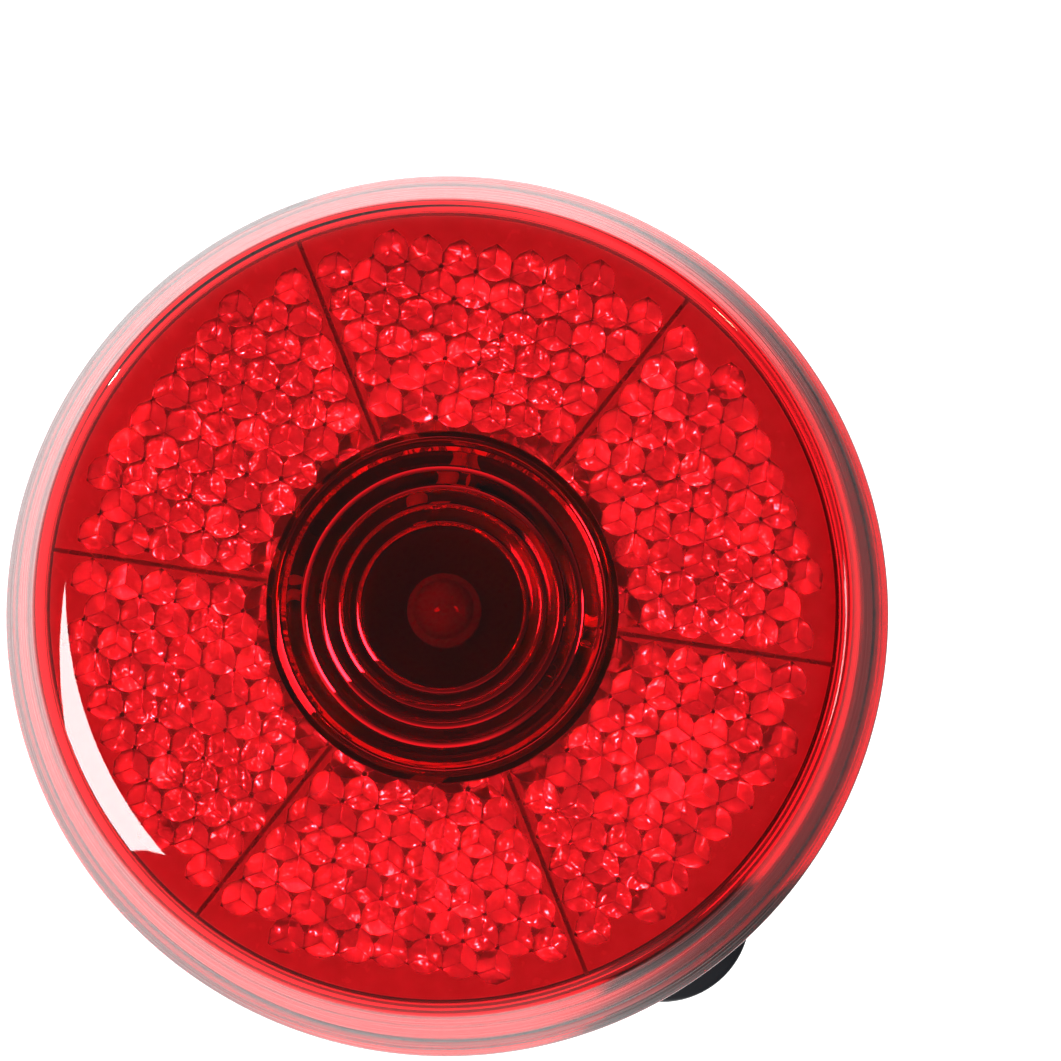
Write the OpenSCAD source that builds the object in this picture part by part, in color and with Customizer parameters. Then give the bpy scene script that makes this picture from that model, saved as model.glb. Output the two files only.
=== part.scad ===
// A round clip-on safety light, about 70 mm across: a domed red reflector lens
// on a dark back housing, with a belt clip, a battery door held by one screw,
// a push button, and a small flashing circuit with two button cells inside.
// Millimetres, +Z up. The lens faces -Y, the clip is on the +Y side with its
// free end down. The origin is on the lens axis, in the middle of the clip gap.

/* [Lens] */
// Widest diameter of the lens, at its rear rim
lens_d = 70; // [60:0.5:80]
// Radius of the rounding at the lens's rear rim
rim_r = 1.7; // [1:0.1:2.5]
// Radius of the rounding between the flank and the face
edge_r = 1.0; // [0.3:0.1:2]
// Height of the shallow dome of the face
dome_h = 0.2; // [0.1:0.05:1]
// Slope of the face where it meets its edge, in degrees
edge_a = 22; // [5:1:40]
// Thickness of the clear face at its middle, down to the prisms
face_t = 1.5; // [1.3:0.05:3]
// Mean depth of the prism layer behind the face
prism_t = 1.2; // [0.8:0.1:2.4]
// Radius of the clear window over the LED
window_r = 13.5; // [8:0.5:18]
// Angle of the first gap between two prism fields
sector_a = 14.45; // [0:0.05:60]
// Width of the gaps between the prism fields
sector_w = 0.5; // [0.3:0.1:1.5]

/* [Housing] */
// Diameter of the back plate
plate_d = 63; // [56:0.5:72]
// Thickness of the back plate
plate_t = 2.2; // [1.6:0.1:3]
// Thickness of the inner walls
wall_t = 1.2; // [0.8:0.1:2]

/* [Battery door] */
// Thickness of the door
door_t = 1.5; // [1.2:0.1:2.5]
// Distance from the axis to the straight edge of the door
door_x = 8.7; // [6:0.1:12]
// Width of the straight groove beside the door
groove_w = 1.4; // [0.4:0.1:2]
// Clearance between the door and the lens rim
door_gap = 0.3; // [0.1:0.05:0.5]
// Distance from the axis to the door screw
screw_x = 24.7; // [20:0.1:26]
// Diameter of the screw head
screw_head_d = 3.6; // [3:0.1:5]

/* [Cells] */
// Diameter of a button cell
cell_d = 11.6; // [9:0.1:13]
// Height of a button cell
cell_h = 5.4; // [3:0.1:6]
// Distance from the axis to the line of the two cells
cell_x = 15.6; // [14:0.1:18]
// Half of the distance between the two cells
cell_y = 7.5; // [6.5:0.1:9]

/* [Button] */
// Diameter of the button
button_d = 10.5; // [6:0.1:14]
// Clearance around the button
button_gap = 0.25; // [0.1:0.05:0.5]
// How far the button stands out of the back plate
button_out = 1.6; // [0.5:0.1:3]
// Button position across the housing
button_x = -18.2; // [-22:0.1:-12]
// Button position along the housing
button_y = -6.75; // [-12:0.05:12]

/* [Clip] */
// Width of the belt clip
clip_w = 14.2; // [8:0.1:20]
// Thickness of the clip arm
clip_t = 2.2; // [1.5:0.1:3]
// Gap between the clip and the back plate
clip_gap = 4.8; // [3:0.1:8]
// Height of the clip's upper end above the axis
clip_top = 28.6; // [26:0.1:30]
// Distance from the axis down to the clip's free end
clip_low = 35.7; // [30:0.1:40]

/* [Hidden] */
$fn = 72;
e = 0.01;
// Depths are measured along the lens axis from the middle of the clip gap, towards the lens face.
z_plate = clip_gap / 2;                 // outer face of the back plate
z_in = z_plate + plate_t;               // inner face of the back plate
z_door = z_plate + door_t;              // inner face of the door
z_clip = -clip_gap / 2;                 // inner face of the clip arm
z_back = z_clip - clip_t;               // outer face of the clip arm
rim_z = 3.2;                            // rear face of the lens rim
lens_r = lens_d / 2;
plate_r = plate_d / 2;
skirt_r = plate_r + 0.2;                // lens bore around the plate
inner_r = plate_r - 0.3;                // lens bore behind its face
c1 = [lens_r - rim_r, rim_z + rim_r];   // centre of the rear rounding
c2 = [lens_r - 2.62 - edge_r, 14.6 - edge_r]; // centre of the front rounding
face_r = c2[0] + edge_r * sin(edge_a);  // edge of the face
fall_n = 24;                            // how late the face falls off towards its edge
fall_h = (face_r * tan(edge_a) - 2 * dome_h) / fall_n;
function fall(r) = dome_h * pow(r / face_r, 2) + fall_h * pow(r / face_r, fall_n); // face below its crown
crown_z = c2[1] + edge_r * cos(edge_a) + fall(face_r); // top of the face
face_in = crown_z - face_t;             // inner side of the face
prism_z = face_in - prism_t;            // inner side of the prism layer
board_z = 7.6;                          // rear face of the circuit board
board_t = 1.0;
front_z = board_z + board_t;
cell_z = 4.55;                          // rear end of the cells
bay_z = 10.3;                           // floor of the battery bay
boss_top = 10.6;
hinge_y = clip_top - 3.4;               // where the clip arm starts to bend
peg_y = 26.6;
peg_x = 3.2;
post_y = 19.0;

module place() rotate([90, 0, 0]) children();
module disc(r, z0, z1) translate([0, 0, z0]) cylinder(r = r, h = z1 - z0);
module at(x, y) translate([x, y, 0]) children();
module block(x0, x1, y0, y1, z0, z1) translate([x0, y0, z0]) cube([x1 - x0, y1 - y0, z1 - z0]);

// ---- lens ----
dd = c2 - c1;
dl = norm(dd);
ka = (rim_r - edge_r) / dl;
kb = sqrt(1 - ka * ka);
nn = [dd[0] / dl * ka + dd[1] / dl * kb, dd[1] / dl * ka - dd[0] / dl * kb];

module lens_outer() rotate_extrude() union() {
  polygon(concat([[0, rim_z], [c1[0], rim_z], c1, c1 + rim_r * nn, c2 + edge_r * nn, c2],
    [for (i = [16 : -1 : 0]) let (r = face_r * sin(90 * i / 16)) [r, crown_z - fall(r)]]));
  translate(c1) circle(r = rim_r);
  translate(c2) circle(r = edge_r);
}

module front_lens() color([0.8, 0.05, 0.06, 0.6]) place() difference() {
  lens_outer();
  disc(skirt_r, rim_z - 1, z_in);
  disc(inner_r, rim_z - 1, prism_z);
  disc(window_r, prism_z - 1, face_in);
  // gaps between the six prism fields
  for (k = [0 : 5]) rotate([0, 0, 90 - sector_a - 60 * k])
    translate([window_r - 1, -sector_w / 2, prism_z - 1]) cube([inner_r - window_r + 0.2, sector_w, 1 + prism_t * 0.8]);
  // ring steps of the window
  for (r = [6.4, 7.8, 9.2, 10.7, 12.3]) translate([0, 0, face_in - e]) difference() {
    cylinder(r = r + 0.35, h = 0.4 + e);
    translate([0, 0, -1]) cylinder(r = r - 0.35, h = 3);
  }
}

// ---- housing ----
module plate_shape(r, z0, z1, q) rotate_extrude() union() {
  polygon([[0, z0], [r - q, z0], [r - q, z0 + q], [r, z0 + q], [r, z1], [0, z1]]);
  translate([r - q, z0 + q]) circle(r = q);
}

module bay_shape(r, z0, z1) {
  for (s = [-1, 1]) at(cell_x, s * cell_y) disc(r, z0, z1);
}

module back_housing() color([0.09, 0.10, 0.13]) place() difference() {
  union() {
    plate_shape(plate_r, z_plate, z_in, 0.6);
    // wall inside the lens
    difference() {
      disc(inner_r - 0.4, z_in - e, 9.0);
      disc(inner_r - 0.4 - wall_t, z_in - 1, 10);
    }
    // floor under the door
    intersection() {
      disc(inner_r - 0.5, z_door, 5.3);
      block(groove_w + 4, 40, -40, 40, z_door, 5.3);
    }
    // walls and floor of the battery bay
    bay_shape(cell_d / 2 + 0.3 + 1.0, z_in - e, bay_z + 1.0);
    block(cell_x - 3, cell_x + 3, -cell_y, cell_y, z_in - e, bay_z + 1.0);
    // screw boss
    at(screw_x, 0) disc(2.9, z_in - e, boss_top);
    at(screw_x, 0) disc(4.5, z_in - e, 6.0);
    block(cell_x + 2, screw_x, -0.6, 0.6, z_in - e, 9.0);
    // posts for the circuit board
    for (s = [-1, 1]) at(-2, s * post_y) disc(2.3, z_in - e, board_z);
    // guide ring around the button
    at(button_x, button_y) disc(7.9, z_in - e, 5.6);
    // ribs across the plate
    for (s = [-1, 1]) block(-3, 5.4, s * 12 - 0.5, s * 12 + 0.5, z_in - e, 6.4);
  }
  // recess for the door and the groove beside it
  block(door_x - groove_w, 60, -40, 40, z_plate - 1, z_door);
  // bay for the cells
  bay_shape(cell_d / 2 + 0.3, z_door - 1, bay_z);
  // channel for the bridge contact
  block(cell_x - 2.6, cell_x + 2.6, -cell_y, cell_y, z_door - 1, z_door + 0.75);
  // way out of the bay for the two contact tags
  for (s = [-1, 1]) block(6, cell_x - 2, s * cell_y - 1.6, s * cell_y + 1.6, 9.7, bay_z);
  // screw
  at(screw_x, 0) disc(3.7, z_plate - 1, 4.9);
  at(screw_x, 0) disc(1.0, z_plate, boss_top - 0.6);
  // door pegs
  for (s = [-1, 1]) at(12.5, s * 20) disc(1.1, z_plate, 7);
  // button
  at(button_x, button_y) disc(button_d / 2 + button_gap, z_plate - 1, z_in + 1);
  at(button_x, button_y) disc(6.7, z_in, 6);
  // clip pegs
  for (s = [-1, 1]) at(s * peg_x, peg_y) disc(1.2, z_plate - 1, z_in + 1);
  // board screws
  for (s = [-1, 1]) at(-2, s * post_y) disc(0.8, 4.8, 8);
}

// ---- battery door ----
module battery_door() color([0.08, 0.09, 0.12]) place() difference() {
  union() {
    intersection() {
      plate_shape(skirt_r - door_gap, z_plate, z_door, 0.6);
      block(door_x, 60, -40, 40, z_plate - 1, z_door + 1);
    }
    at(screw_x, 0) disc(3.4, z_door - e, 4.85);
    for (s = [-1, 1]) at(12.5, s * 20) disc(1.0, z_door - e, 6.2);
  }
  at(screw_x, 0) disc(2.85, z_plate - 1, z_door);
  at(screw_x, 0) disc(1.2, z_plate - 1, 6);
}

module door_screw() color([0.75, 0.76, 0.78]) place() at(screw_x, 0) difference() {
  union() {
    rotate_extrude() union() {
      polygon([[0, z_plate + 0.1], [screw_head_d / 2 - 0.7, z_plate + 0.1], [screw_head_d / 2 - 0.7, z_plate + 0.8], [screw_head_d / 2, z_plate + 0.8], [screw_head_d / 2, z_door], [0, z_door]]);
      translate([screw_head_d / 2 - 0.7, z_plate + 0.8]) circle(r = 0.7);
    }
    disc(0.95, z_door - e, 8.8);
    translate([0, 0, 8.8 - e]) cylinder(r1 = 0.95, r2 = 0.25, h = 0.7);
  }
  for (a = [0, 90]) rotate([0, 0, a + 20]) translate([-1.1, -0.28, z_plate - 1]) cube([2.2, 0.56, 1.85]);
}

// ---- clip ----
module clip_root() color([0.11, 0.12, 0.14]) place() {
  translate([-clip_w / 2, 0, 0]) rotate([90, 0, 90]) linear_extrude(height = clip_w)
    polygon([[hinge_y, z_plate], [clip_top, z_plate], [clip_top, z_back + 3.1], [clip_top - 3.1, z_back], [hinge_y, z_back]]);
  // pegs through the back plate, flattened over inside
  for (s = [-1, 1]) at(s * peg_x, peg_y) {
    disc(1.2, z_plate - e, z_in);
    disc(2.0, z_in, z_in + 0.7);
  }
}

module clip_outline() {
  translate([-clip_w / 2, -(clip_low - clip_w / 2)]) square([clip_w, hinge_y + clip_low - clip_w / 2]);
  translate([0, -(clip_low - clip_w / 2)]) circle(r = clip_w / 2);
}

module clip_arm() color([0.11, 0.12, 0.14]) place() difference() {
  union() {
    translate([0, 0, z_back]) linear_extrude(height = clip_t) clip_outline();
    // grip pip
    at(0, -25) disc(2.6, z_clip - e, z_clip + 2.4);
    translate([0, -25, z_clip + 2.4]) intersection() {
      sphere(r = 2.6);
      translate([-5, -5, -e]) cube([10, 10, 5]);
    }
  }
  // lead-in on the inner side of the free end
  translate([-10, -clip_low + 4.4, z_clip]) rotate([-16, 0, 0]) translate([0, -12, 0]) cube([20, 12, 5]);
  // crown of the pip cut flat
  at(0, -25) disc(4, z_clip + 3.6, 3);
}

// ---- button and switch ----
module button_cap() color([0.85, 0.16, 0.12]) place() at(button_x, button_y) {
  rotate_extrude() union() {
    polygon([[0, z_plate - button_out], [button_d / 2 - 1.2, z_plate - button_out], [button_d / 2 - 1.2, z_plate - button_out + 1.2], [button_d / 2, z_plate - button_out + 1.2], [button_d / 2, z_in + 0.1], [0, z_in + 0.1]]);
    translate([button_d / 2 - 1.2, z_plate - button_out + 1.2]) circle(r = 1.2);
  }
  disc(6.3, z_in + 0.05, z_in + 0.65);
}

module switch_body() color([0.06, 0.06, 0.07]) place() at(button_x, button_y) difference() {
  block(-3, 3, -3, 3, 6.15, board_z);
  disc(2.3, 6, 7.35);
}

module switch_cover() color([0.8, 0.8, 0.82]) place() at(button_x, button_y) difference() {
  union() {
    block(-3, 3, -3, 3, 5.9, 6.15);
    for (s = [-1, 1]) block(-1, 1, s > 0 ? 3 : -3.2, s > 0 ? 3.2 : -3, 5.9, 7.2);
  }
  disc(1.85, 5, 7);
}

module switch_dome() color([0.7, 0.7, 0.72]) place() at(button_x, button_y) difference() {
  union() {
    disc(2.1, 7.25, 7.35);
    translate([0, 0, 7.02]) cylinder(r1 = 1.3, r2 = 2.0, h = 0.24);
  }
  translate([0, 0, 7.12]) cylinder(r1 = 1.2, r2 = 1.9, h = 0.24);
}

module switch_plunger() color([0.12, 0.12, 0.13]) place() at(button_x, button_y) {
  disc(1.75, z_in + 0.7, 6.1);
  disc(0.7, 6.09, 6.55);
}

module switch_terminals() color([0.8, 0.8, 0.8]) place() at(button_x, button_y)
  for (sx = [-1, 1], sy = [-1, 1]) {
    block(sx > 0 ? 3 : -3.8, sx > 0 ? 3.8 : -3, sy * 2.2 - 0.35, sy * 2.2 + 0.35, 7.2, 7.4);
    block(sx > 0 ? 3.6 : -3.8, sx > 0 ? 3.8 : -3.6, sy * 2.2 - 0.35, sy * 2.2 + 0.35, 7.4, front_z + 0.5);
  }

// ---- circuit board ----
res_p = [[-8, 6], [-8, 13]];      // resistor leads
led_p = [[-1.27, 0], [1.27, 0]];  // LED leads
wire_p = [[2.6, cell_y], [2.6, -cell_y]];

module circuit_board() color([0.12, 0.36, 0.2]) place() difference() {
  intersection() {
    disc(25, board_z, front_z);
    block(-25.6, 6.9, -21.5, 21.5, board_z - 1, front_z + 1);
  }
  for (s = [-1, 1]) at(-2, s * post_y) disc(1.1, board_z - 1, front_z + 1);
  for (p = concat(res_p, led_p)) at(p[0], p[1]) disc(0.4, board_z - 1, front_z + 1);
  for (p = wire_p) at(p[0], p[1]) disc(0.55, board_z - 1, front_z + 1);
  for (sx = [-1, 1], sy = [-1, 1])
    at(button_x + sx * 3.7, button_y + sy * 2.2) block(-0.25, 0.25, -0.45, 0.45, board_z - 1, front_z + 1);
}

module board_screws() color([0.75, 0.75, 0.77]) place() for (s = [-1, 1]) at(-2, s * post_y) difference() {
  union() {
    disc(1.9, front_z, front_z + 1.1);
    disc(0.9, 5.2, front_z + 0.5);
  }
  for (a = [0, 90]) rotate([0, 0, a + 35 * s]) translate([-1.1, -0.25, front_z + 0.5]) cube([2.2, 0.5, 1]);
}

module led() color([0.9, 0.9, 0.92, 0.8]) place() {
  disc(2.9, front_z, front_z + 1.4);
  disc(2.4, front_z + 1, front_z + 2.4);
  translate([0, 0, front_z + 2.4]) intersection() {
    sphere(r = 2.4);
    translate([-5, -5, -e]) cube([10, 10, 5]);
  }
}

module led_leads() color([0.8, 0.8, 0.8]) place()
  for (p = led_p) at(p[0], p[1]) block(-0.25, 0.25, -0.25, 0.25, 6.5, front_z);

module flasher_chip() color([0.05, 0.05, 0.05]) place() at(-13.5, 8.5) {
  disc(3.1, front_z, front_z + 0.5);
  translate([0, 0, front_z + 0.5]) intersection() {
    translate([0, 0, -5.5]) sphere(r = 6.3);
    translate([0, 0, -e]) cylinder(r = 3.1, h = 3);
  }
}

module resistor() color([0.8, 0.65, 0.45]) place() {
  translate([-8, 7.9, front_z + 1.0]) rotate([-90, 0, 0]) cylinder(r = 0.95, h = 3.2);
  for (p = res_p) at(p[0], p[1]) disc(0.25, 6.7, front_z + 1.0);
  translate([-8, 6, front_z + 1.0]) rotate([-90, 0, 0]) cylinder(r = 0.25, h = 7);
  for (p = res_p) translate([p[0], p[1], front_z + 1.0]) sphere(r = 0.25);
}

module capacitor() color([0.7, 0.55, 0.4]) place() difference() {
  block(-10.1, -6.9, -10.8, -9.2, front_z, front_z + 1.1);
  for (x = [-9.6, -7.5]) block(x, x + 0.1, -11, -9, front_z + 1.0, front_z + 2);
}

module solder_joints() color([0.82, 0.83, 0.84]) place() {
  for (p = led_p) at(p[0], p[1]) difference() {
    translate([0, 0, 6.8]) cylinder(r1 = 0.42, r2 = 0.95, h = board_z - 6.8);
    block(-0.25, 0.25, -0.25, 0.25, 6, 8);
  }
  for (p = res_p) at(p[0], p[1]) difference() {
    translate([0, 0, 6.9]) cylinder(r1 = 0.4, r2 = 0.95, h = board_z - 6.9);
    disc(0.25, 6, 8);
  }
  for (p = wire_p) at(p[0], p[1]) difference() {
    translate([0, 0, 6.8]) cylinder(r1 = 0.6, r2 = 1.2, h = board_z - 6.8);
    disc(0.45, 6, 8);
  }
  for (sx = [-1, 1], sy = [-1, 1]) at(button_x + sx * 3.7, button_y + sy * 2.2) difference() {
    translate([0, 0, front_z]) cylinder(r1 = 0.9, r2 = 0.45, h = 0.6);
    block(-0.1, 0.1, -0.35, 0.35, front_z - 1, front_z + 2);
  }
}

// ---- power ----
module cell(flip) {
  m = cell_h / 2;
  translate([0, 0, cell_z + m]) mirror([0, 0, flip]) translate([0, 0, -m]) {
    rotate_extrude() union() {
      polygon([[0, 0], [cell_d / 2 - 0.5, 0], [cell_d / 2 - 0.5, 0.5], [cell_d / 2, 0.5], [cell_d / 2, cell_h - 1.0], [cell_d / 2 - 0.7, cell_h - 0.35], [0, cell_h - 0.35]]);
      translate([cell_d / 2 - 0.5, 0.5]) circle(r = 0.5);
    }
    // cap and the ring of the seal below it
    translate([0, 0, cell_h - 0.36]) cylinder(r1 = cell_d / 2 - 1.1, r2 = cell_d / 2 - 1.4, h = 0.36);
  }
}
module cell_upper() color([0.78, 0.79, 0.8]) place() at(cell_x, cell_y) cell(1);
module cell_lower() color([0.78, 0.79, 0.8]) place() at(cell_x, -cell_y) cell(0);

module contact(s) at(0, s * cell_y) {
  block(cell_x - 3.4, cell_x + 3.4, -2.2, 2.2, bay_z - 0.2, bay_z);
  block(6.7, cell_x - 3.3, -1.1, 1.1, bay_z - 0.2, bay_z);
  at(cell_x, 0) disc(1.5, cell_z + cell_h, bay_z - 0.19);
}
module contact_positive() color([0.8, 0.78, 0.7]) place() contact(1);
module contact_negative() color([0.8, 0.78, 0.7]) place() contact(-1);

module contact_bridge() color([0.8, 0.78, 0.7]) place() difference() {
  union() {
    block(cell_x - 2.2, cell_x + 2.2, -cell_y - 2.6, cell_y + 2.6, z_door, z_door + 0.25);
    for (s = [-1, 1]) at(cell_x, s * cell_y) disc(1.5, z_door + 0.24, cell_z - 0.05);
  }
  for (s = [-1, 1]) at(cell_x, s * cell_y) disc(0.8, z_door - 1, cell_z - 0.3);
}

module wire(s) at(0, s * cell_y) {
  translate([3.8, 0, bay_z + 0.35]) rotate([0, 90, 0]) cylinder(r = 0.45, h = 4.0);
  translate([3.8, 0, bay_z + 0.35 - 1.2]) rotate([90, 0, 0]) rotate([0, 0, 90]) rotate_extrude(angle = 90)
    translate([1.2, 0]) circle(r = 0.45);
  translate([2.6, 0, 6.6]) cylinder(r = 0.45, h = bay_z + 0.35 - 1.2 - 6.6);
}
module wire_positive() color([0.8, 0.08, 0.06]) place() wire(1);
module wire_negative() color([0.05, 0.05, 0.06]) place() wire(-1);

front_lens();
back_housing();
battery_door();
door_screw();
clip_root();
clip_arm();
button_cap();
switch_body();
switch_cover();
switch_plunger();
switch_dome();
switch_terminals();
circuit_board();
board_screws();
led();
led_leads();
flasher_chip();
resistor();
capacitor();
solder_joints();
cell_upper();
cell_lower();
contact_positive();
contact_negative();
contact_bridge();
wire_positive();
wire_negative();
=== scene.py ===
"""A round clip-on safety light: the look of the red prism lens, the dark back housing, the belt clip and the parts inside."""

import math
import random

import bpy
import bmesh
import numpy as np
from mathutils import Matrix, Vector


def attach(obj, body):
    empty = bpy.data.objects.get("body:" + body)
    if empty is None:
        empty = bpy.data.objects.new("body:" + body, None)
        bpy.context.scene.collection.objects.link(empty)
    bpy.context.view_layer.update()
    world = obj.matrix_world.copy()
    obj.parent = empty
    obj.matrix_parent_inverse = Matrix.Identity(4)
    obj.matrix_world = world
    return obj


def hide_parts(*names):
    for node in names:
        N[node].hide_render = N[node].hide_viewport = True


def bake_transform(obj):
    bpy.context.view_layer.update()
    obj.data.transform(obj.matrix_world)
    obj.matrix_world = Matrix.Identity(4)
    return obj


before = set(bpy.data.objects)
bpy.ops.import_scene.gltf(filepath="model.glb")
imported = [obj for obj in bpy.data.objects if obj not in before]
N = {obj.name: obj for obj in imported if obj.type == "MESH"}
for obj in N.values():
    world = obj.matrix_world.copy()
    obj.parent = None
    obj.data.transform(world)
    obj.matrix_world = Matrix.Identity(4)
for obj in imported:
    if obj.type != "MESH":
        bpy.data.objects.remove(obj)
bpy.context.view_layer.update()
MM = 0.001
rng = random.Random(7)

# Sizes in mm, along the lens axis (z towards the face) from the middle of the clip gap
RIM_Z, PLATE_R, SKIRT_R, INNER_R = 3.2, 31.5, 31.7, 31.2
Z_PLATE, Z_IN, Z_DOOR, Z_CLIP, Z_BACK = 2.4, 4.6, 3.9, -2.4, -4.6
LENS_R, RIM_R, EDGE_R = 35.0, 1.7, 1.0
DOME_H, EDGE_A, FALL_N = 0.2, 22.0, 24
C1 = (LENS_R - RIM_R, RIM_Z + RIM_R)
C2 = (LENS_R - 2.62 - EDGE_R, 14.6 - EDGE_R)
BASE_Z = 13.85
FLAT_Z = BASE_Z - 0.36
WINDOW_R = 13.5
FIELD_R = 13.9
SECTOR_A = 14.45
PITCH = 2.75


FACE_R = C2[0] + EDGE_R * math.sin(math.radians(EDGE_A))
SHOULDER_H = (FACE_R * math.tan(math.radians(EDGE_A)) - 2 * DOME_H) / FALL_N


def fall(r):
    """How far the face lies below its crown."""
    return DOME_H * (r / FACE_R) ** 2 + SHOULDER_H * (r / FACE_R) ** FALL_N


CROWN_Z = C2[1] + EDGE_R * math.cos(math.radians(EDGE_A)) + fall(FACE_R)


def row(p):
    """A point given as (x, y, z) with z towards the lens face, in mm, as a point of the row frame in metres."""
    return (p[0] * MM, -p[2] * MM, p[1] * MM)


def make(name, verts, faces):
    me = bpy.data.meshes.new(name)
    me.from_pydata([row(v) for v in verts], [], faces)
    me.update()
    ob = bpy.data.objects.new(name, me)
    bpy.context.scene.collection.objects.link(ob)
    bm = bmesh.new()
    bm.from_mesh(me)
    bmesh.ops.remove_doubles(bm, verts=bm.verts, dist=1e-7)
    bmesh.ops.recalc_face_normals(bm, faces=bm.faces)
    bm.to_mesh(me)
    bm.free()
    return ob


def revolve(name, profile, n=192, at=(0.0, 0.0)):
    """A closed solid of revolution about the lens axis. profile is a closed line of (r, z) that may touch the axis."""
    verts, rings = [], []
    for r, z in profile:
        if r < 1e-6:
            rings.append([len(verts)])
            verts.append((at[0], at[1], z))
        else:
            rings.append(list(range(len(verts), len(verts) + n)))
            verts += [(at[0] + r * math.cos(2 * math.pi * k / n), at[1] + r * math.sin(2 * math.pi * k / n), z) for k in range(n)]
    faces = []
    for a, b in zip(rings, rings[1:] + rings[:1]):
        if len(a) == 1 and len(b) == 1:
            continue
        for k in range(n):
            j = (k + 1) % n
            if len(a) == 1:
                faces.append((a[0], b[k], b[j]))
            elif len(b) == 1:
                faces.append((a[k], b[0], a[j]))
            else:
                faces.append((a[k], b[k], b[j], a[j]))
    return make(name, verts, faces)


def boolean(ob, other, how, solver="MANIFOLD"):
    m = ob.modifiers.new("b", "BOOLEAN")
    m.operation, m.object, m.solver = how, other, solver
    dg = bpy.context.evaluated_depsgraph_get()
    me = bpy.data.meshes.new_from_object(ob.evaluated_get(dg))
    ob.modifiers.clear()
    old = ob.data
    ob.data = me
    bpy.data.meshes.remove(old)
    bpy.data.objects.remove(other)
    return ob


def soften(ob, width, segments=2, angle=35):
    m = ob.modifiers.new("edges", "BEVEL")
    m.width, m.segments, m.limit_method, m.angle_limit = width * MM, segments, "ANGLE", math.radians(angle)
    m.harden_normals = False
    return m


def smooth(ob, angle=35):
    ob.data.shade_smooth()
    ob.data.set_sharp_from_angle(angle=math.radians(angle))


def arc(c, r, a0, a1, n):
    return [(c[0] + r * math.cos(math.radians(a0 + (a1 - a0) * k / n)), c[1] + r * math.sin(math.radians(a0 + (a1 - a0) * k / n))) for k in range(n + 1)]


# ---------- materials ----------
def new_mat(name):
    m = bpy.data.materials.new(name)
    m.use_nodes = True
    nt = m.node_tree
    return m, nt, nt.nodes["Principled BSDF"]


def node(nt, kind, **values):
    n = nt.nodes.new(kind)
    for k, v in values.items():
        if hasattr(n, k):
            setattr(n, k, v)
        else:
            n.inputs[k].default_value = v
    return n


def noise(nt, scale, detail=3.0, stretch=(1, 1, 1), rough=0.5):
    tc = node(nt, "ShaderNodeTexCoord")
    mp = node(nt, "ShaderNodeMapping")
    mp.inputs["Scale"].default_value = stretch
    nt.links.new(tc.outputs["Object"], mp.inputs["Vector"])
    t = node(nt, "ShaderNodeTexNoise")
    t.inputs["Scale"].default_value = scale
    t.inputs["Detail"].default_value = detail
    t.inputs["Roughness"].default_value = rough
    nt.links.new(mp.outputs["Vector"], t.inputs["Vector"])
    return t


def span(nt, src, a, b, lo, hi):
    m = node(nt, "ShaderNodeMapRange")
    m.inputs["From Min"].default_value, m.inputs["From Max"].default_value = a, b
    m.inputs["To Min"].default_value, m.inputs["To Max"].default_value = lo, hi
    nt.links.new(src, m.inputs["Value"])
    return m.outputs["Result"]


def tint(nt, src, c0, c1):
    mx = node(nt, "ShaderNodeMix", data_type="RGBA")
    mx.inputs[6].default_value = (*c0, 1)
    mx.inputs[7].default_value = (*c1, 1)
    nt.links.new(src, mx.inputs[0])
    return mx.outputs[2]


def bump(nt, bsdf, src, distance, strength=1.0, after=None):
    b = node(nt, "ShaderNodeBump")
    b.inputs["Strength"].default_value = strength
    b.inputs["Distance"].default_value = distance
    nt.links.new(src, b.inputs["Height"])
    if after is not None:
        nt.links.new(after.outputs["Normal"], b.inputs["Normal"])
    nt.links.new(b.outputs["Normal"], bsdf.inputs["Normal"])
    return b


def scratches(nt, scale=110, stretch=(1, 1, 0.06), width=0.004):
    """A few fine straight marks: where a stretched noise crosses its middle."""
    n = noise(nt, scale, 1.0, stretch)
    s = node(nt, "ShaderNodeMath", operation="SUBTRACT")
    s.inputs[1].default_value = 0.62
    nt.links.new(n.outputs["Fac"], s.inputs[0])
    a = node(nt, "ShaderNodeMath", operation="ABSOLUTE")
    nt.links.new(s.outputs[0], a.inputs[0])
    return span(nt, a.outputs[0], 0.0, width, 1.0, 0.0)


def plastic(name, base, rough=0.4, grain=0.00001, vary=0.25, scratch=0.0, coat=0.0, stretch=(1, 1, 0.06), spec=0.4):
    m, nt, b = new_mat(name)
    big = noise(nt, 90, 4)
    dark = tuple(c * (1 - vary) for c in base)
    light = tuple(min(1, c * (1 + vary)) for c in base)
    col = tint(nt, span(nt, big.outputs["Fac"], 0.3, 0.7, 0, 1), dark, light)
    fine = noise(nt, 2600, 3)
    r = span(nt, big.outputs["Fac"], 0.3, 0.7, rough * 0.85, min(1, rough * 1.2))
    if scratch > 0:
        sc = scratches(nt, stretch=stretch)
        mx = node(nt, "ShaderNodeMix", data_type="RGBA")
        mx.inputs[7].default_value = (*(min(1, c * 3 + 0.06 * scratch) for c in base), 1)
        nt.links.new(col, mx.inputs[6])
        mul = node(nt, "ShaderNodeMath", operation="MULTIPLY")
        mul.inputs[1].default_value = 0.35 * scratch
        nt.links.new(sc, mul.inputs[0])
        nt.links.new(mul.outputs[0], mx.inputs[0])
        col = mx.outputs[2]
    nt.links.new(col, b.inputs["Base Color"])
    nt.links.new(r, b.inputs["Roughness"])
    b.inputs["Coat Weight"].default_value = coat
    b.inputs["Specular IOR Level"].default_value = spec
    b.inputs["Coat Roughness"].default_value = 0.08
    bump(nt, b, fine.outputs["Fac"], grain, 0.6)
    return m


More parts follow.
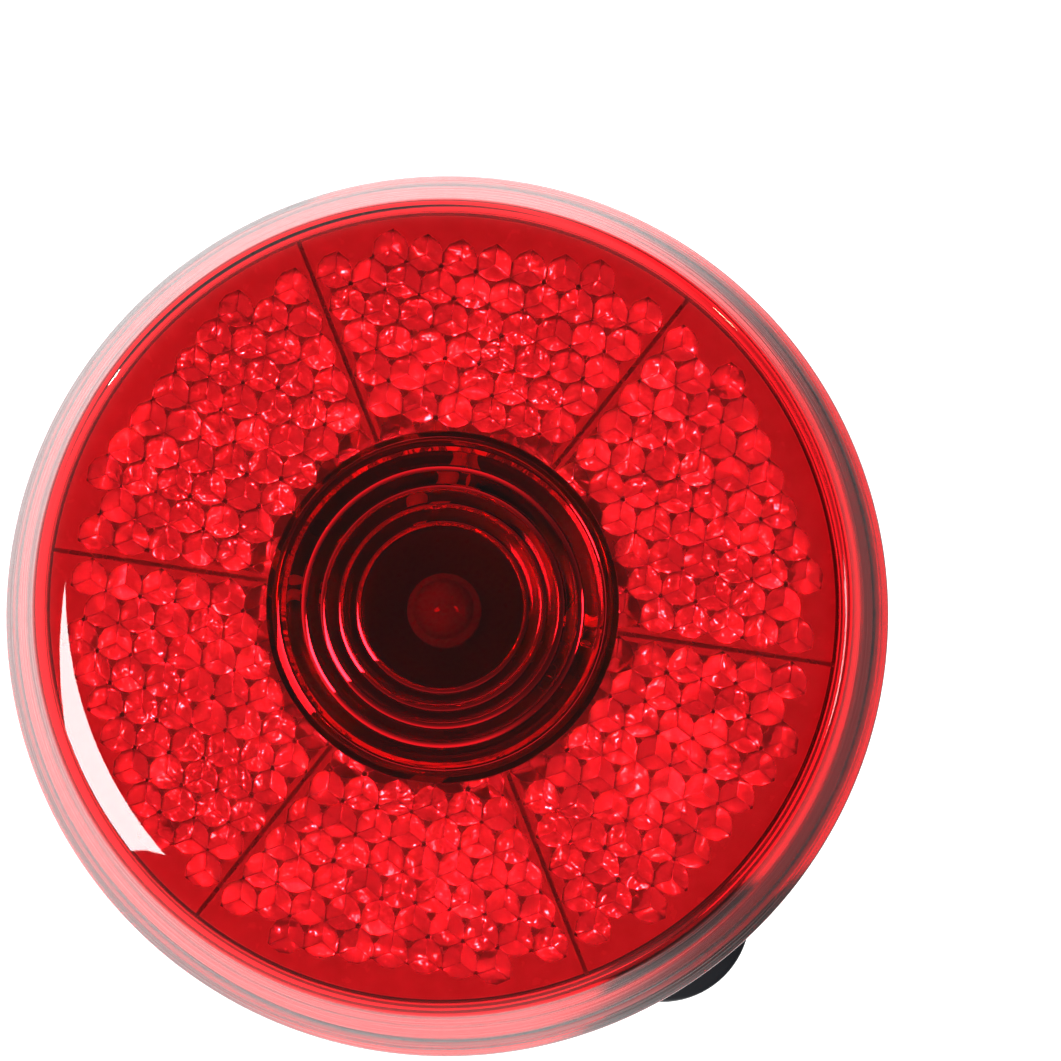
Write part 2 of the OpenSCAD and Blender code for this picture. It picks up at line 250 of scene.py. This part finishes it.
def metal(name, base, rough=0.25, vary=0.12, stretch=(1, 1, 1), grain=0.000004):
    m, nt, b = new_mat(name)
    big = noise(nt, 300, 4, stretch)
    fine = noise(nt, 3000, 2, stretch)
    nt.links.new(tint(nt, span(nt, big.outputs["Fac"], 0.3, 0.7, 0, 1), tuple(c * (1 - vary) for c in base), base), b.inputs["Base Color"])
    nt.links.new(span(nt, fine.outputs["Fac"], 0.3, 0.7, rough * 0.7, rough * 1.4), b.inputs["Roughness"])
    b.inputs["Metallic"].default_value = 1.0
    bump(nt, b, fine.outputs["Fac"], grain, 0.5)
    return m


LENS_RED = (0.86, 0.006, 0.012)


def lens_mat(name, base, rough, streak=0.0, round_r=0.0):
    m, nt, b = new_mat(name)
    big = noise(nt, 60, 3)
    nt.links.new(tint(nt, span(nt, big.outputs["Fac"], 0.3, 0.7, 0, 1), tuple(c * 0.9 for c in base), base), b.inputs["Base Color"])
    b.inputs["Transmission Weight"].default_value = 1.0
    b.inputs["IOR"].default_value = 1.49
    fine = noise(nt, 900, 3)
    nt.links.new(span(nt, fine.outputs["Fac"], 0.3, 0.7, rough * 0.6, rough * 1.5), b.inputs["Roughness"])
    if streak:
        # fine turned marks that run round the lens: noise over height and radius only
        tc = node(nt, "ShaderNodeTexCoord")
        sep = node(nt, "ShaderNodeSeparateXYZ")
        nt.links.new(tc.outputs["Object"], sep.inputs[0])
        pw = node(nt, "ShaderNodeVectorMath", operation="LENGTH")
        flat = node(nt, "ShaderNodeCombineXYZ")
        nt.links.new(sep.outputs["X"], flat.inputs["X"])
        nt.links.new(sep.outputs["Z"], flat.inputs["Z"])
        nt.links.new(flat.outputs[0], pw.inputs[0])
        cmb = node(nt, "ShaderNodeCombineXYZ")
        nt.links.new(pw.outputs["Value"], cmb.inputs["X"])
        nt.links.new(sep.outputs["Y"], cmb.inputs["Y"])
        lo = node(nt, "ShaderNodeVectorMath", operation="SCALE")
        lo.inputs["Scale"].default_value = 0.02
        nt.links.new(tc.outputs["Object"], lo.inputs[0])
        add = node(nt, "ShaderNodeVectorMath", operation="ADD")
        nt.links.new(cmb.outputs[0], add.inputs[0])
        nt.links.new(lo.outputs[0], add.inputs[1])
        t = node(nt, "ShaderNodeTexNoise")
        t.inputs["Scale"].default_value = 2600
        t.inputs["Detail"].default_value = 3
        nt.links.new(add.outputs[0], t.inputs["Vector"])
        bump(nt, b, t.outputs["Fac"], 0.00004 * streak, 1.0)
    elif round_r:
        # the edges of the prisms are a little rounded, and their sides not quite flat
        bv = node(nt, "ShaderNodeBevel", samples=4)
        bv.inputs["Radius"].default_value = round_r * MM
        wavy = noise(nt, 700, 1)
        bump(nt, b, wavy.outputs["Fac"], 0.000007, 1.0, after=bv)
    else:
        bump(nt, b, fine.outputs["Fac"], 0.000002, 0.3)
    return m


M_FACE = lens_mat("lens_face", LENS_RED, 0.015)
M_FLANK = lens_mat("lens_flank", LENS_RED, 0.12, 1.0)


def inner_mat(name, share, rough, base=(1.0, 0.85, 0.85), round_r=0.0):
    """The inner side of the lens: clear plastic that scatters a share of the light back."""
    m = lens_mat(name, base, rough, round_r=round_r)
    nt = m.node_tree
    b, out = nt.nodes["Principled BSDF"], nt.nodes["Material Output"]
    d = node(nt, "ShaderNodeBsdfDiffuse")
    n = noise(nt, 500, 3)
    nt.links.new(tint(nt, span(nt, n.outputs["Fac"], 0.3, 0.7, 0, 1), (0.9, 0.7, 0.7), (1.0, 0.85, 0.85)), d.inputs["Color"])
    mx = node(nt, "ShaderNodeMixShader")
    mx.inputs[0].default_value = share
    nt.links.new(b.outputs[0], mx.inputs[1])
    nt.links.new(d.outputs[0], mx.inputs[2])
    nt.links.new(mx.outputs[0], out.inputs["Surface"])
    return m


M_PRISM = inner_mat("lens_prism", 0.13, 0.01, (1.0, 0.92, 0.92), 0.1)
M_BEAD = lens_mat("lens_bead", (1.0, 0.95, 0.92), 0.01)
M_SATIN = inner_mat("lens_satin", 0.92, 0.2)
M_TIPS = inner_mat("lens_tips", 0.3, 0.3)

# ---------- the lens ----------
def lens_profile():
    d = (C2[0] - C1[0], C2[1] - C1[1])
    dl = math.hypot(*d)
    ka = (RIM_R - EDGE_R) / dl
    kb = math.sqrt(1 - ka * ka)
    nn = (d[0] / dl * ka + d[1] / dl * kb, d[1] / dl * ka - d[0] / dl * kb)
    an = math.degrees(math.atan2(nn[1], nn[0]))
    p = [(SKIRT_R, RIM_Z + 0.12), (SKIRT_R + 0.12, RIM_Z)]
    p += arc(C1, RIM_R, -90, an, 14)
    n = 8
    t0, t1 = (C1[0] + RIM_R * nn[0], C1[1] + RIM_R * nn[1]), (C2[0] + EDGE_R * nn[0], C2[1] + EDGE_R * nn[1])
    p += [(t0[0] + (t1[0] - t0[0]) * k / n, t0[1] + (t1[1] - t0[1]) * k / n) for k in range(1, n)]
    p += arc(C2, EDGE_R, an, 90 - EDGE_A, 10)
    p += [(FACE_R * k / 64, CROWN_Z - fall(FACE_R * k / 64)) for k in range(63, -1, -1)]
    # window: shallow steps in rings, like a pressed lens
    ins = [(0.0, BASE_Z - 0.33)]
    edges = [6.4, 7.8, 9.2, 10.7, 12.3, 13.45]
    ins += [(edges[0] * k / 8, BASE_Z - 0.33 + 0.1 * (k / 8) ** 2) for k in range(1, 9)]
    for a, b in zip(edges, edges[1:]):
        ins += [(a + 0.03, BASE_Z - 0.02), (a + 0.4, BASE_Z - 0.52), (a + 0.55, BASE_Z - 0.58), (a * 0.35 + b * 0.65, BASE_Z - 0.4), (b - 0.02, BASE_Z)]
    p += ins
    p += [(FIELD_R, BASE_Z), (FIELD_R, FLAT_Z), (INNER_R - 0.35, FLAT_Z), (INNER_R - 0.1, FLAT_Z - 0.1), (INNER_R, FLAT_Z - 0.35), (INNER_R, Z_IN), (SKIRT_R, Z_IN)]
    return p


def prism_sector(k, gap=0.2, outer=30.75, top=14.3, sub=1, soft_r=0.0):
    """One field of corner-cube prisms as a closed solid: whole six-sided cells, their edges below softened only when
    soft_r is above nought, walls round them, flat on top.
    """
    a0 = math.radians(SECTOR_A + 60 * k)
    a1 = a0 + math.pi / 3
    u0, u1, mid = (math.sin(a0), math.cos(a0)), (math.sin(a1), math.cos(a1)), (math.sin(a0 + math.pi / 6), math.cos(a0 + math.pi / 6))
    f = math.radians(SECTOR_A)
    b1 = np.array((PITCH * math.sin(f), PITCH * math.cos(f)))
    b2 = np.array((PITCH * math.sin(f + math.pi / 3), PITCH * math.cos(f + math.pi / 3)))
    f1, f2 = (b1 + b2) / 3, (2 * b2 - b1) / 3
    cell_r = PITCH / math.sqrt(3)
    off = np.array(mid) * 2 * (cell_r + gap)
    unit = PITCH / math.sqrt(2) * 0.57735
    inv = np.linalg.inv(np.array([f1, f2]).T)

    def height(xy):
        """Height of the sharp lattice at points given from its own origin."""
        ij = xy @ inv.T
        i0 = np.floor(ij).astype(int)
        fr = ij - i0
        c = lambda i, j: BASE_Z - 0.02 - (2 - (i - j) % 3) * unit
        i, j, u, v = i0[:, 0], i0[:, 1], fr[:, 0], fr[:, 1]
        lower = u + v <= 1
        h_low = c(i, j) * (1 - u - v) + c(i + 1, j) * u + c(i, j + 1) * v
        h_up = c(i + 1, j + 1) * (u + v - 1) + c(i + 1, j) * (1 - v) + c(i, j + 1) * (1 - u)
        return np.where(lower, h_low, h_up)

    tris, apexes = [], {}
    for i in range(-30, 31):
        for j in range(-30, 31):
            for tri in (((i, j), (i + 1, j), (i, j + 1)), ((i + 1, j), (i + 1, j + 1), (i, j + 1))):
                apex = next(t for t in tri if (t[0] - t[1]) % 3 == 0)
                if apex not in apexes:
                    c = off + apex[0] * f1 + apex[1] * f2
                    d0 = c[0] * u0[1] - c[1] * u0[0]
                    d1 = -c[0] * u1[1] + c[1] * u1[0]
                    ring = [c + cell_r * np.array((math.cos(t), math.sin(t))) for t in (math.pi / 6 - f + q * math.pi / 3 for q in range(6))]
                    apexes[apex] = (
                        min(d0, d1) > cell_r + gap - 0.01
                        and max(np.hypot(*r) for r in ring) < outer + 0.25
                        and np.hypot(*c) > FIELD_R - 0.6
                    )
                if apexes[apex]:
                    tris.append(tri)
    index, pts = {}, []

    def vid(i, j):
        if (i, j) not in index:
            index[(i, j)] = len(pts)
            pts.append((i, j))
        return index[(i, j)]

    low, count = [], {}
    for tri in tris:
        a, b, c = (np.array(t) * sub for t in tri)
        e1, e2 = (b - a) // sub, (c - a) // sub
        for p in range(sub):
            for q in range(sub - p):
                o = a + e1 * p + e2 * q
                fs = [(o, o + e1, o + e2)]
                if p + q < sub - 1:
                    fs.append((o + e1, o + e1 + e2, o + e2))
                for t in fs:
                    low.append([vid(*map(int, w)) for w in t])
    ij = np.array(pts, float) / sub
    xy = ij[:, :1] * f1 + ij[:, 1:] * f2
    kernel = [(1e-5, 1e-5)] + [(soft_r * math.cos(t), soft_r * math.sin(t)) for t in np.arange(12) * math.pi / 6 if soft_r > 0]
    z = np.mean([height(xy + np.array(o)) for o in kernel], axis=0)
    verts = [(xy[n, 0] + off[0], xy[n, 1] + off[1], z[n]) for n in range(len(pts))]
    for ids in low:
        v = [verts[q] for q in ids]
        if (v[1][0] - v[0][0]) * (v[2][1] - v[0][1]) - (v[2][0] - v[0][0]) * (v[1][1] - v[0][1]) < 0:
            ids.reverse()
        for q in range(3):
            e = (ids[q], ids[(q + 1) % 3])
            count[e] = count.get(e, 0) + 1
    nv = len(verts)
    up = lambda v: v + nv
    allv = verts + [(p[0], p[1], top) for p in verts]
    faces = [tuple(reversed(ids)) for ids in low] + [tuple(up(v) for v in ids) for ids in low]
    for (a, b) in count:
        if (b, a) not in count:
            faces.append((a, b, up(b), up(a)))
    ob = make(f"sector_{k}", allv, faces)
    # small round beads where the sides of three cells meet half-way down, each a little different
    bm = bmesh.new()
    for n, (i, j) in enumerate(pts):
        if (i - j) % 3 == 1 and rng.random() < 0.8:
            q = (verts[n][0] + rng.uniform(-0.05, 0.05), verts[n][1] + rng.uniform(-0.05, 0.05), verts[n][2] + 0.06)
            bmesh.ops.create_icosphere(bm, subdivisions=2, radius=rng.uniform(0.16, 0.3) * MM, matrix=Matrix.Translation(row(q)))
    me = bpy.data.meshes.new("beads")
    bm.to_mesh(me)
    bm.free()
    beads = bpy.data.objects.new("beads", me)
    bpy.context.scene.collection.objects.link(beads)
    ob = boolean(ob, beads, "UNION")
    return boolean(ob, revolve("round", [(0, 10), (FIELD_R, 10), (FIELD_R, 15), (0, 15)], 240), "DIFFERENCE")


def rib(k, width=0.34, depth=0.7):
    """The narrow straight rib between two prism fields."""
    a = math.radians(SECTOR_A + 60 * k)
    u, v = (math.sin(a), math.cos(a)), (math.cos(a), -math.sin(a))
    at = lambda r, s, z: (u[0] * r + v[0] * s, u[1] * r + v[1] * s, z)
    h = width / 2
    verts = [at(r, s, z) for r in (FIELD_R + 0.1, 31.0) for s in (-h, h) for z in (BASE_Z - depth, 14.3)]
    faces = [(0, 1, 3, 2), (4, 6, 7, 5), (0, 2, 6, 4), (1, 5, 7, 3), (0, 4, 5, 1), (2, 3, 7, 6)]
    return make(f"rib_{k}", verts, faces)


def build_lens():
    ob = revolve("reflector_lens", lens_profile(), 240)
    for k in range(6):
        ob = boolean(ob, prism_sector(k), "UNION")
        ob = boolean(ob, rib(k), "UNION")
    return ob


lens = build_lens()
ob = lens
ob.data.materials.clear()
for m in (M_FACE, M_FLANK, M_PRISM, M_SATIN, M_TIPS, M_BEAD):
    ob.data.materials.append(m)
for p in ob.data.polygons:
    c = p.center
    r, z = math.hypot(c.x, c.z) / MM, -c.y / MM
    if abs(z - FLAT_Z) < 0.004 and FIELD_R < r < INNER_R:
        # the flats between the fields, and the small blunt tips between the prisms
        p.material_index = 4 if p.area < 0.42e-6 else 3
    elif r > INNER_R - 0.05 and RIM_Z + 0.13 < z < Z_IN + 0.01 and r < SKIRT_R + 0.01:
        p.material_index = 3
    elif abs(z - BASE_Z + 0.7) < 0.004 and FIELD_R < r < INNER_R - 0.1:
        p.material_index = 4
    elif z < BASE_Z + 0.05 and r < INNER_R - 0.02:
        p.material_index = (5 if p.area < 0.03e-6 else 2) if r > FIELD_R - 0.1 else 0
    elif r > C2[0] and z < C2[1] + EDGE_R * 0.5:
        p.material_index = 1
    else:
        p.material_index = 0
smooth(ob, 29)
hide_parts("front_lens")
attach(ob, "housing")

# ---------- the belt clip ----------
def prism_of(name, outline, width):
    """A side outline of (y, z) carried across the width."""
    n = len(outline)
    verts = [(-width / 2, y, z) for y, z in outline] + [(width / 2, y, z) for y, z in outline]
    faces = [tuple(range(n)), tuple(range(2 * n - 1, n - 1, -1))] + [(k, (k + 1) % n, n + (k + 1) % n, n + k) for k in range(n)]
    return make(name, verts, faces)


def build_clip():
    w = 14.2
    side = [(25.3, Z_PLATE), (28.6, Z_PLATE), (28.6, -1.3), (28.3, -1.75), (25.75, -4.35), (25.1, Z_BACK), (-35.7, Z_BACK)]
    side += [(-35.7, -3.75), (-34.4, -3.3), (-32.6, -2.85), (-31.0, -2.5), (-29.8, Z_CLIP)]
    side += [(23.9, Z_CLIP)] + [(23.9 + 1.4 * math.sin(t), Z_CLIP + 1.4 * (1 - math.cos(t))) for t in (0.3, 0.6, 0.9, 1.2, 1.5)] + [(25.3, -0.9)]
    ob = prism_of("belt_clip", side, w)
    n = 40
    plan = [(-7.1, 30), (7.1, 30)] + [(7.1 * math.cos(a), -28.6 + 7.1 * math.sin(a)) for a in (-math.pi * k / n for k in range(n + 1))]
    m = len(plan)
    verts = [(x, y, -8) for x, y in plan] + [(x, y, 8) for x, y in plan]
    faces = [tuple(range(m)), tuple(range(2 * m - 1, m - 1, -1))] + [(k, (k + 1) % m, m + (k + 1) % m, m + k) for k in range(m)]
    ob = boolean(ob, make("plan", verts, faces), "INTERSECT")
    pip = revolve("pip", [(0, Z_CLIP - 0.5), (2.6, Z_CLIP - 0.5), (2.6, Z_CLIP + 2.3)] + [(2.6 * math.cos(t), Z_CLIP + 2.4 + 1.2 * math.sin(t)) for t in (0.2, 0.5, 0.8, 1.1, 1.4)] + [(0, Z_CLIP + 3.6)], 48, (0, -25))
    ob = boolean(ob, pip, "UNION")
    mod = soften(ob, 0.32, 3, 30)
    dg = bpy.context.evaluated_depsgraph_get()
    me = bpy.data.meshes.new_from_object(ob.evaluated_get(dg))
    ob.modifiers.clear()
    ob.data = me
    bm = bmesh.new()
    bm.from_mesh(me)
    for y in [25 - 0.8 * k for k in range(26)]:
        bmesh.ops.bisect_plane(bm, geom=bm.verts[:] + bm.edges[:] + bm.faces[:], plane_co=row((0, y, 0)), plane_no=(0, 0, 1))
    bm.to_mesh(me)
    bm.free()
    return ob


clip = build_clip()
smooth(clip, 40)
clip.data.materials.clear()
clip.data.materials.append(plastic("clip_black", (0.013, 0.015, 0.021), 0.34, 0.000008, 0.2, 1.0, stretch=(1, 1, 0.05)))
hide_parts("clip_root", "clip_arm")
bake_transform(clip)

# ---------- CAD pieces ----------
black = plastic("housing_black", (0.011, 0.014, 0.022), 0.36, 0.000012, 0.2)
finishes = {
    "back_housing": black,
    "battery_door": plastic("door_black", (0.011, 0.014, 0.022), 0.36, 0.000012, 0.2),
    "door_screw": metal("zinc", (0.5, 0.5, 0.52), 0.3),
    "button_cap": plastic("button_red", (0.66, 0.032, 0.018), 0.22, 0.000003, 0.08, 0.3, coat=0.5, stretch=(1, 1, 0.4)),
    "switch_body": plastic("switch_black", (0.02, 0.02, 0.022), 0.5),
    "switch_cover": metal("switch_steel", (0.62, 0.62, 0.64), 0.3),
    "switch_plunger": plastic("plunger_black", (0.03, 0.03, 0.033), 0.45),
    "switch_dome": metal("dome_steel", (0.6, 0.6, 0.62), 0.2),
    "switch_terminals": metal("tin", (0.66, 0.66, 0.68), 0.35),
    "circuit_board": plastic("board_green", (0.012, 0.075, 0.03), 0.3, 0.00002, 0.4, coat=0.4),
    "board_screws": metal("zinc_small", (0.7, 0.7, 0.72), 0.25),
    "led_leads": metal("lead_tin", (0.66, 0.66, 0.68), 0.3),
    "flasher_chip": plastic("epoxy_black", (0.012, 0.012, 0.013), 0.18, 0.00002, 0.2),
    "resistor": plastic("resistor_tan", (0.45, 0.3, 0.15), 0.4),
    "capacitor": plastic("capacitor_brown", (0.35, 0.22, 0.12), 0.45),
    "solder_joints": metal("solder", (0.6, 0.61, 0.62), 0.25, grain=0.00001),
    "cell_upper": metal("cell_nickel_a", (0.66, 0.67, 0.68), 0.28),
    "cell_lower": metal("cell_nickel_b", (0.66, 0.67, 0.68), 0.28),
    "contact_positive": metal("bronze_a", (0.68, 0.62, 0.5), 0.3),
    "contact_negative": metal("bronze_b", (0.68, 0.62, 0.5), 0.3),
    "contact_bridge": metal("bronze_c", (0.68, 0.62, 0.5), 0.3),
    "wire_positive": plastic("wire_red", (0.55, 0.02, 0.02), 0.4),
    "wire_negative": plastic("wire_black", (0.012, 0.012, 0.014), 0.4),
}
led_mat, led_nt, led_b = new_mat("led_epoxy")
led_noise = noise(led_nt, 400, 2)
led_nt.links.new(span(led_nt, led_noise.outputs["Fac"], 0.3, 0.7, 0.04, 0.1), led_b.inputs["Roughness"])
led_nt.links.new(tint(led_nt, led_noise.outputs["Fac"], (0.9, 0.9, 0.92), (0.98, 0.98, 1.0)), led_b.inputs["Base Color"])
led_b.inputs["Transmission Weight"].default_value = 0.8
led_b.inputs["IOR"].default_value = 1.5
finishes["led"] = led_mat
for name, m in finishes.items():
    o = N[name]
    for s in range(max(1, len(o.material_slots))):
        if len(o.material_slots) == 0:
            o.data.materials.append(m)
        else:
            o.material_slots[s].material = m
for name in ("back_housing", "battery_door"):
    soften(N[name], 0.12, 2, 40)

# ---------- camera ----------
C = Vector((-0.019, -0.996, -0.083)).normalized()
UP0 = Vector((0.586, 0.0, 0.810))
RIGHT = UP0.cross(C).normalized()
UP = C.cross(RIGHT).normalized()
focal, width_mm = 560.0, 84.1
D = focal / 36.0 * width_mm * MM
aim = Vector((0, -4.9 * MM, 0)) + RIGHT * 6.63 * MM + UP * 6.73 * MM
cam = bpy.data.objects.new("camera", bpy.data.cameras.new("camera"))
cam.data.lens, cam.data.sensor_width = focal, 36.0
cam.data.clip_start, cam.data.clip_end = 0.01, 10
cam.matrix_world = Matrix.Translation(aim + C * D) @ Matrix((RIGHT, UP, C)).transposed().to_4x4()
bpy.context.scene.collection.objects.link(cam)
bpy.context.scene.camera = cam

# ---------- light ----------
aim_dir = (aim + C * D).normalized()


def area(name, direction, dist, size, power, colour=(1, 1, 1), size_y=None, shape="RECTANGLE"):
    d = Vector(direction).normalized()
    l = bpy.data.lights.new(name, "AREA")
    l.shape, l.size = shape, size
    if shape == "RECTANGLE":
        l.size_y = size_y or size
    l.energy, l.color = power, colour
    o = bpy.data.objects.new(name, l)
    o.location = d * dist
    o.rotation_euler = d.to_track_quat("Z", "Y").to_euler()
    bpy.context.scene.collection.objects.link(o)
    return o


def toward(right, up, front):
    return RIGHT * right + UP * up + C * front


def soft(name, direction, dist, w, h, radiance, colour=(1, 1, 1), shape="RECTANGLE"):
    """An area light by the radiance it shows, so its reflections can be judged."""
    a = w * h if shape == "RECTANGLE" else math.pi * w * w / 4
    return area(name, direction, dist, w, radiance * math.pi * a, colour, h, shape)


# these two light the corner cubes, which send light back; they are polarised, so that the flat face doesn't mirror them
soft("behind_camera", aim_dir, 1.65, 0.115, 0.115, 0.85, (1, 1, 1), "DISK").visible_glossy = False
soft("flash", aim_dir, 1.6, 0.005, 0.005, 240.0, (1, 0.95, 0.7), "DISK").visible_glossy = False
soft("left", toward(-0.42, -0.02, 0.9), 0.5, 0.18, 0.10, 22.0)
soft("right", toward(0.75, 0.03, 0.65), 0.55, 0.09, 0.2, 12.0)
soft("spark_a", toward(0.55, 0.75, 0.6), 0.6, 0.04, 0.04, 60.0, (1, 0.95, 0.6), "DISK")
soft("spark_b", toward(-0.6, 0.5, 0.62), 0.6, 0.02, 0.02, 60.0, (1, 0.97, 0.85), "DISK")

world = bpy.data.worlds.new("world")
bpy.context.scene.world = world
world.use_nodes = True
nt = world.node_tree
bg = nt.nodes["Background"]
tc = node(nt, "ShaderNodeTexCoord")
sep = node(nt, "ShaderNodeSeparateXYZ")
nt.links.new(tc.outputs["Generated"], sep.inputs[0])
# dimmer straight in front of the lens, so that its face stays clear
front = node(nt, "ShaderNodeMapRange")
front.interpolation_type = "SMOOTHSTEP"
front.inputs["From Min"].default_value, front.inputs["From Max"].default_value = -0.95, -0.7
front.inputs["To Min"].default_value, front.inputs["To Max"].default_value = 0.12, 1.2
nt.links.new(sep.outputs["Y"], front.inputs["Value"])
# brighter behind it
rear = node(nt, "ShaderNodeMapRange")
rear.interpolation_type = "SMOOTHSTEP"
rear.inputs["From Min"].default_value, rear.inputs["From Max"].default_value = 0.2, 0.7
rear.inputs["To Min"].default_value, rear.inputs["To Max"].default_value = 1.0, 1.35
nt.links.new(sep.outputs["Y"], rear.inputs["Value"])
both = node(nt, "ShaderNodeMath", operation="MULTIPLY")
nt.links.new(front.outputs["Result"], both.inputs[0])
nt.links.new(rear.outputs["Result"], both.inputs[1])
# darker to the right of the lens
dot = node(nt, "ShaderNodeVectorMath", operation="DOT_PRODUCT")
dot.inputs[1].default_value = RIGHT
nt.links.new(tc.outputs["Generated"], dot.inputs[0])
side = node(nt, "ShaderNodeMapRange")
side.interpolation_type = "SMOOTHSTEP"
side.inputs["From Min"].default_value, side.inputs["From Max"].default_value = 0.1, 0.45
side.inputs["To Min"].default_value, side.inputs["To Max"].default_value = 1.0, 0.14
nt.links.new(dot.outputs["Value"], side.inputs["Value"])
mul = node(nt, "ShaderNodeMath", operation="MULTIPLY")
nt.links.new(both.outputs[0], mul.inputs[0])
nt.links.new(side.outputs["Result"], mul.inputs[1])
lp = node(nt, "ShaderNodeLightPath")
mx = node(nt, "ShaderNodeMath", operation="MAXIMUM")
nt.links.new(mul.outputs[0], mx.inputs[0])
nt.links.new(lp.outputs["Is Camera Ray"], mx.inputs[1])
nt.links.new(mx.outputs[0], bg.inputs["Strength"])
bg.inputs["Color"].default_value = (1, 1, 1, 1)

sc = bpy.context.scene
sc.view_settings.view_transform = "Standard"
sc.view_settings.look = "None"
sc.cycles.sample_clamp_indirect = 0
sc.cycles.max_bounces = 16
sc.cycles.transmission_bounces = 16
sc.cycles.glossy_bounces = 8
